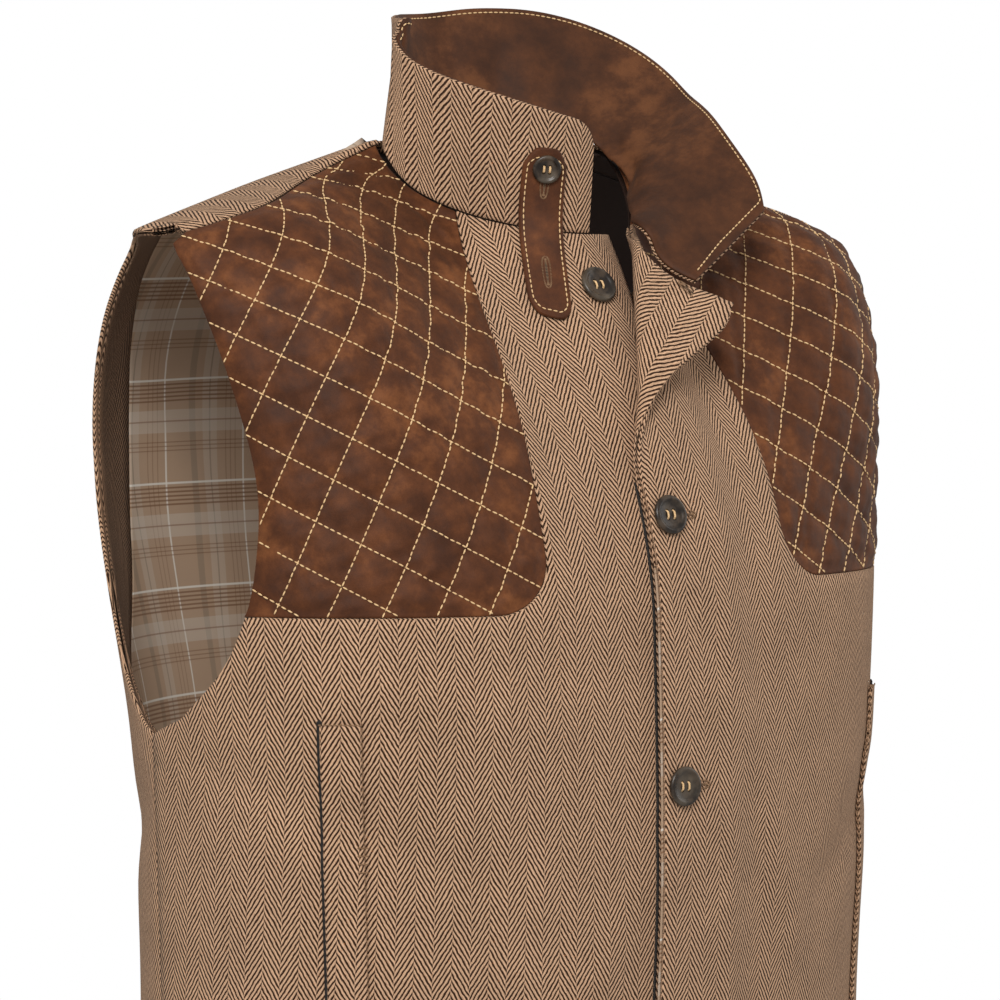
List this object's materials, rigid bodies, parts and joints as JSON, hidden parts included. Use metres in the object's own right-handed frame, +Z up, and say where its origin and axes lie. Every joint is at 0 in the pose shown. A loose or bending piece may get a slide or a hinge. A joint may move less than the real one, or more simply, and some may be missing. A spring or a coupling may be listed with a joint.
{
  "type": "hunting vest",
  "caption": "Sleeveless herringbone tweed hunting vest with a stand collar, quilted leather shoulder patches, a throat tab and a buttoned front.",
  "frame": {"origin": "between the shoulders, at the height where the shoulder ridge meets the neck, where the wearer carries the vest", "axes": "+Z up, -Y to the front, +X to the wearer's left"},
  "size_m": [0.4485, 0.3086, 0.7518],
  "materials": {
    "back": "brushed wool herringbone",
    "front_right": "brushed wool herringbone",
    "front_left": "brushed wool herringbone",
    "facing_left": "brushed wool herringbone",
    "armhole_facing_right": "brushed wool herringbone",
    "armhole_facing_left": "brushed wool herringbone",
    "collar_outer": "brushed wool herringbone",
    "welt_right": "brushed wool herringbone",
    "welt_left": "brushed wool herringbone",
    "half_belt": "brushed wool herringbone",
    "patch_right": "soft matt",
    "patch_left": "soft matt",
    "collar_inner": "soft matt",
    "throat_tab": "soft matt",
    "lining_back": "smooth plaid",
    "lining_right": "smooth plaid",
    "lining_left": "smooth plaid",
    "button_1": "polished horn",
    "button_2": "polished horn",
    "button_3": "polished horn",
    "button_4": "polished horn",
    "button_5": "polished horn",
    "tab_button": "polished horn"
  },
  "bodies": {
    "root": {"back": "back", "front_right": "front_right", "front_left": "front_left", "facing_left": "facing_left", "armhole_facing_right": "armhole_facing_right", "armhole_facing_left": "armhole_facing_left", "collar_outer": "collar_outer", "welt_right": "welt_right", "welt_left": "welt_left", "half_belt": "half_belt", "patch_right": "patch_right", "patch_left": "patch_left", "collar_inner": "collar_inner", "throat_tab": "throat_tab", "lining_back": "lining_back", "lining_right": "lining_right", "lining_left": "lining_left", "button_1": "button_1", "button_2": "button_2", "button_3": "button_3", "button_4": "button_4", "button_5": "button_5", "tab_button": "tab_button"}
  },
  "joints": []
}
